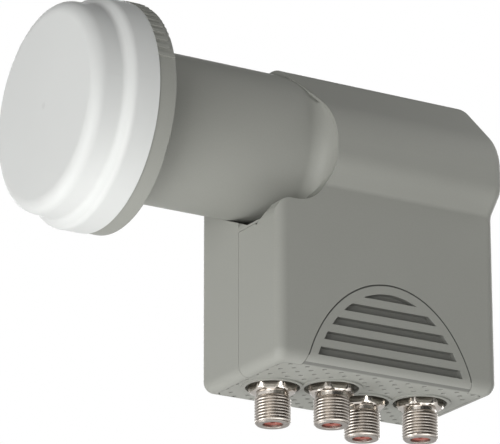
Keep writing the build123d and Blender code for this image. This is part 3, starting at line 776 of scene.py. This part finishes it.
def dimple_tree(sizes, material):
    """Tree that presses staggered rows of dimples into the bottom plate, clear of the sockets."""
    ball_radius = ((sizes.across / 2) ** 2 + sizes.depth**2) / (2 * sizes.depth)
    ball_height = sizes.plate_z + sizes.depth - ball_radius
    inputs = {
        "Rows": sizes.rows,
        "Columns": sizes.columns,
        "Row gap": sizes.row_gap,
        "Step": sizes.step,
        "Start": PLATE_LOW.y + sizes.start,
        "Ball radius": ball_radius,
        "Ball height": ball_height,
        "Keep clear": sizes.keep_clear,
    }
    tree = Sprout("Plate dimples", inputs)
    given = tree.given
    rows, columns = given("Rows"), given("Columns")
    spots = tree.node("GeometryNodePoints", None, {"Count": rows * columns})
    index = tree.node("GeometryNodeInputIndex")
    row = ((index + 0.5) / columns).floor()
    column = index - row * columns
    x = (row - (rows - 1) / 2) * given("Row gap")
    y = (column + row % 2 * 0.5) * given("Step") + given("Start")
    place = tree.vector(x, y, given("Ball height"))
    spots = tree.node("GeometryNodeSetPosition", None, {"Geometry": spots, "Position": place})
    axes = socket_spots(tree, ball_height)
    near = tree.node("GeometryNodeProximity", {"target_element": "POINTS"}, {0: axes}, "Distance")
    taken = {"Geometry": spots, "Selection": near < given("Keep clear")}
    spots = tree.node("GeometryNodeDeleteGeometry", {"domain": "POINT"}, taken)
    sphere = {"Segments": BALL_SEGMENTS, "Rings": BALL_RINGS, "Radius": given("Ball radius")}
    ball = tree.node("GeometryNodeMeshUVSphere", None, sphere)
    balls = tree.node("GeometryNodeInstanceOnPoints", None, {"Points": spots, "Instance": ball})
    balls = tree.node("GeometryNodeRealizeInstances", None, {"Geometry": balls})
    pressed = tree.node(
        "GeometryNodeMeshBoolean",
        {"operation": "DIFFERENCE", "solver": "EXACT"},
        {"Mesh 1": given("Geometry"), "Mesh 2": balls},
    )
    return tree.end(pressed, material)


def thread_tree(sizes, material):
    """Tree that winds a thread, adds it to the socket's body and stands the result at the four places."""
    turns = ceil(thread_length(sizes) / sizes.pitch) + 1
    inputs = {
        "Pitch": sizes.pitch,
        "Crest": sizes.crest,
        "Root": sizes.root,
        "Bevel": sizes.bevel,
        "Start": SOCKET_LOW,
        "Length": thread_length(sizes),
        "Turns": float(turns),
        "Segments": sizes.segments + 1,
        "Rows": turns * sizes.steps + 1,
        "First turn": sizes.first_turn,
        "Turn step": sizes.turn_step,
    }
    tree = Sprout("Socket threads", inputs)
    given = tree.given
    crest, root, length = given("Crest"), given("Root"), given("Length")
    grid = {"Size X": 1.0, "Size Y": 1.0, "Vertices X": given("Segments"), "Vertices Y": given("Rows")}
    barrel = tree.node("GeometryNodeMeshGrid", None, grid)
    across, along, _ = tree.split(tree.node("GeometryNodeInputPosition"))
    around = across + 0.5
    wound = (along + 0.5) * given("Turns")
    lift = ((wound + around - 1) * given("Pitch")).clamp(0.0, length)
    wave = abs((wound + PHASE_NUDGE).fraction() * 2 - 1)
    flank = (wave * FLANK_STEEPNESS - FLANK_CUT).clamp(0.0, 1.0)
    lead_in = crest - given("Bevel") + lift
    run_out = root + (length - lift)
    radius = (root + flank * (crest - root)).least(lead_in).least(run_out)
    turn = around * tau
    helix = tree.vector(radius * turn.cosine(), radius * turn.sine(), given("Start") + lift)
    barrel = tree.node("GeometryNodeSetPosition", None, {"Geometry": barrel, "Position": helix})
    barrel = tree.node("GeometryNodeMergeByDistance", None, {"Geometry": barrel, "Distance": THREAD_MERGE})
    screwed = tree.node("GeometryNodeInputIndex") * given("Turn step") + given("First turn")
    stand = {
        "Points": socket_spots(tree, 0.0),
        "Instance": tree.join(given("Geometry"), barrel),
        "Rotation": tree.vector(0.0, 0.0, screwed),
    }
    return tree.end(tree.node("GeometryNodeInstanceOnPoints", None, stand), material)


class LNB_OT_housing(bpy.types.Operator):
    """Finish the two housing halves in grained grey plastic and close the seam between them"""

    bl_idname = "lnb.housing"
    bl_label = "Housing"

    def execute(self, context):
        plastic = moulded_grey("housing_grey", context.scene.lnb_finish.housing)
        dress(plastic, "side_cover")
        shell = new_piece("main_shell", merged_copy("main_housing", "main_shell"))
        coat(shell.data, plastic)
        close_seam(shell.data, "side_cover", SEAM_FROM, SEAM_TO, SEAM_REACH)
        even_shading(shell, SHELL_SHARP)
        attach(shell, "root")
        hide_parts("main_housing")
        return {"FINISHED"}


class LNB_OT_base(bpy.types.Operator):
    """Press the dimples into the base cover and finish it in grained grey plastic"""

    bl_idname = "lnb.base"
    bl_label = "Base cover"

    def execute(self, context):
        sizes = context.scene.lnb_dimples
        plastic = moulded_grey("base_grey", context.scene.lnb_finish.base, sizes)
        plate = new_piece("dimpled_base", merged_copy("base_cover", "dimpled_base"))
        plate.data.materials.clear()
        coat(dimple_tree(sizes, plastic).plant(plate), plastic)
        even_shading(plate, BASE_SHARP)
        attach(plate, "root")
        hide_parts("base_cover")
        return {"FINISHED"}


class LNB_OT_cap(bpy.types.Operator):
    """Finish the cap over the feed in satin white"""

    bl_idname = "lnb.cap"
    bl_label = "Feed cap"

    def execute(self, context):
        dress(white_cap_finish(context.scene.lnb_finish.cap), "feed_cap")
        return {"FINISHED"}


class LNB_OT_sockets(bpy.types.Operator):
    """Make the four threaded sockets and finish their insulators and contacts, with the other brass pieces"""

    bl_idname = "lnb.sockets"
    bl_label = "F sockets"

    def execute(self, context):
        sizes = context.scene.lnb_thread
        finish = context.scene.lnb_finish
        nickel = nickel_finish(finish.nickel, sizes)
        shells = new_piece("socket_shells", socket_body(sizes))
        smooth_by_angle(thread_tree(sizes, nickel).plant(shells), SOCKET_SHARP)
        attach(shells, "root")
        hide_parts(*SOCKETS)
        dress(plain_moulding("insulator_red", finish.insulator, 0.40), *numbered("insulator"))
        probes = ["vertical_probe", "horizontal_probe", "tuning_screws"]
        dress(metal_finish("bright_brass", BRASS, 0.22), *numbered("contact"), *probes)
        return {"FINISHED"}


class LNB_OT_feed(bpy.types.Operator):
    """Finish the feed, tray, lid, screws and seals inside"""

    bl_idname = "lnb.feed"
    bl_label = "Feed and tray"

    def execute(self, context):
        casting = context.scene.lnb_finish.casting
        dress(metal_finish("cast_metal", casting, 0.42), "feed_horn", "chassis", "shield_lid")
        screws = ["horn_screws", "board_screws", "lid_screws", "isolation_rod"]
        dress(metal_finish("zinc_plate", ZINC, 0.28, (1, 6, 1), 900), *screws)
        seals = ["cap_o_ring", "horn_o_ring", "lid_gasket", *numbered("gasket")]
        dress(plain_moulding("black_rubber", RUBBER, 0.62), *seals)
        return {"FINISHED"}


class LNB_OT_board(bpy.types.Operator):
    """Finish the board and what stands on it"""

    bl_idname = "lnb.board"
    bl_label = "Board"

    def execute(self, context):
        dress(board_finish(SOLDER_MASK, COPPER), "rf_board")
        dress(plain_moulding("fired_ceramic", CERAMIC, 0.55), "low_band_resonator", "high_band_resonator")
        dress(plain_moulding("chip_black", CHIP, 0.48), "switch_chip", "regulators")
        dress(plain_moulding("bush_white", BUSH, 0.38), "vertical_bush", "horizontal_bush")
        return {"FINISHED"}


def direction(turn, rise):
    """A direction from its angle to the front, towards the right, and its angle above level."""
    turn, rise = radians(turn), radians(rise)
    return Vector((sin(turn) * cos(rise), -cos(turn) * cos(rise), sin(rise)))


def area_lamp(name, place, target, size, power):
    """A round lamp that looks at a target and isn't seen itself."""
    lamp = bpy.data.lights.new(name, "AREA")
    lamp.shape = "DISK"
    lamp.size = size
    lamp.energy = power
    holder = bpy.data.objects.new(name, lamp)
    holder.visible_camera = False
    holder.location = place
    holder.rotation_euler = (target - place).to_track_quat("-Z", "Y").to_euler()
    bpy.context.scene.collection.objects.link(holder)


def background_rays(s):
    """1 for rays that show the background: from the camera, in gloss and through clear matter."""
    path = s.node("ShaderNodeLightPath").socket.node.outputs
    seen = Wire(s, path["Is Camera Ray"])
    for name in ("Is Glossy Ray", "Is Transmission Ray"):
        seen = seen.most(Wire(s, path[name]))
    return seen


class LNB_OT_stage(bpy.types.Operator):
    """Set the floor, the light, the white surround and the camera"""

    bl_idname = "lnb.stage"
    bl_label = "Stage"

    def execute(self, context):
        settings = context.scene.lnb_stage
        scene = context.scene
        scene.view_settings.view_transform = "Standard"
        middle = (CAD_BOX[0] + CAD_BOX[1]) / 2
        self.surround(scene, settings)
        self.floor(settings)
        self.dark_card(settings, middle)
        for name, (turn, rise, distance, size) in LAMPS.items():
            place = middle + direction(turn, rise) * distance
            area_lamp(name, place, middle, size, getattr(settings, name))
        self.camera(scene)
        return {"FINISHED"}

    def surround(self, scene, settings):
        """White where it is seen, and a weaker even light on the object."""
        world = bpy.data.worlds.new("studio")
        scene.world = world
        s = Paint(world)
        strength = settings.ambient + (1 - settings.ambient) * background_rays(s)
        light = s.node("ShaderNodeBackground", None, {"Color": grey(1), "Strength": strength})
        s.node("ShaderNodeOutputWorld", None, {"Surface": light})

    def floor(self, settings):
        """A wide floor that looks paler than its light makes it."""
        build = bmesh.new()
        bmesh.ops.create_grid(build, x_segments=1, y_segments=1, size=FLOOR_REACH)
        mesh = built_mesh("floor", build)
        mesh.transform(Matrix.Translation((0, 0, settings.floor_drop)))
        floor = new_piece("floor", mesh)
        s = sheet_for("pale_floor")
        tone = s.noise(1.5)
        glow = s.mix(background_rays(s), grey(0), grey(settings.floor_glow))
        pale = s.mix(tone, grey(0.84), grey(0.88))
        coat(mesh, s.finish(pale, Roughness=0.9, Emission_Color=glow, Emission_Strength=1.0))

    def dark_card(self, settings, middle):
        """Dark curved cards on the right and a dark roof behind, which only show in reflections."""
        build = bmesh.new()
        for start, end, low in CARDS:
            posts = []
            for i in range(CARD_STEPS + 1):
                turn = radians(start + (end - start) * i / CARD_STEPS)
                x = middle.x + settings.card_away * sin(turn)
                y = middle.y - settings.card_away * cos(turn)
                posts.append([build.verts.new((x, y, z)) for z in (low, settings.card_high)])
            for left, right in zip(posts, posts[1:]):
                build.faces.new((left[0], right[0], right[1], left[1]))
        left, right = -ROOF_LEFT, settings.card_away
        near, far = middle.y - ROOF_NEAR, middle.y + ROOF_FAR
        corners = [(left, near), (right, near), (right, far), (left, far)]
        build.faces.new([build.verts.new((x, y, settings.roof_height)) for x, y in corners])
        mesh = built_mesh("dark_card", build)
        card = new_piece("dark_card", mesh)
        s = sheet_for("black_card")
        coat(mesh, s.finish(s.mix(s.noise(30), grey(0.02), grey(0.03)), Roughness=0.9))
        card.visible_camera = False
        card.visible_diffuse = False
        card.visible_shadow = False

    def camera(self, scene):
        """The camera that took the photograph."""
        back = Vector(CAMERA_BACK).normalized()
        right = Vector(CAMERA_RIGHT).normalized()
        up = back.cross(right)
        turn = Matrix((right, up, back)).transposed().to_4x4() @ Matrix.Rotation(CAMERA_ROLL, 4, "Z")
        data = bpy.data.cameras.new("photo_camera")
        data.sensor_width = SENSOR_WIDTH
        data.lens = CAMERA_FOCAL_PX * SENSOR_WIDTH / PHOTO_WIDTH
        data.clip_start = CLIP_NEAR
        data.clip_end = CLIP_FAR
        camera = bpy.data.objects.new("photo_camera", data)
        camera.matrix_world = Matrix.Translation(CAMERA_PLACE) @ turn
        scene.collection.objects.link(camera)
        scene.camera = camera


OPERATORS = (
    LNB_OT_housing,
    LNB_OT_base,
    LNB_OT_cap,
    LNB_OT_sockets,
    LNB_OT_feed,
    LNB_OT_board,
    LNB_OT_stage,
)
SETTINGS = {
    "lnb_finish": FinishSettings,
    "lnb_dimples": DimpleSettings,
    "lnb_thread": ThreadSettings,
    "lnb_stage": StageSettings,
}


class LNB_PT_looks(bpy.types.Panel):
    """Lists the pieces and their settings"""

    bl_label = "Satellite LNB"
    bl_idname = "LNB_PT_looks"
    bl_space_type = "VIEW_3D"
    bl_region_type = "UI"
    bl_category = "LNB"

    def draw(self, context):
        for operator in OPERATORS:
            self.layout.operator(operator.bl_idname)
        for name, group in SETTINGS.items():
            box = self.layout.box()
            for key in group.__annotations__:
                box.prop(getattr(context.scene, name), key)


def register():
    for group in (*SETTINGS.values(), *OPERATORS, LNB_PT_looks):
        bpy.utils.register_class(group)
    for name, group in SETTINGS.items():
        setattr(bpy.types.Scene, name, PointerProperty(type=group))


def unregister():
    for name in SETTINGS:
        delattr(bpy.types.Scene, name)
    for group in (LNB_PT_looks, *OPERATORS, *SETTINGS.values()):
        bpy.utils.unregister_class(group)


def main():
    register()
    bpy.ops.lnb.housing()
    bpy.ops.lnb.base()
    bpy.ops.lnb.cap()
    bpy.ops.lnb.sockets()
    bpy.ops.lnb.feed()
    bpy.ops.lnb.board()
    bpy.ops.lnb.stage()


if __name__ == "__main__":
    main()
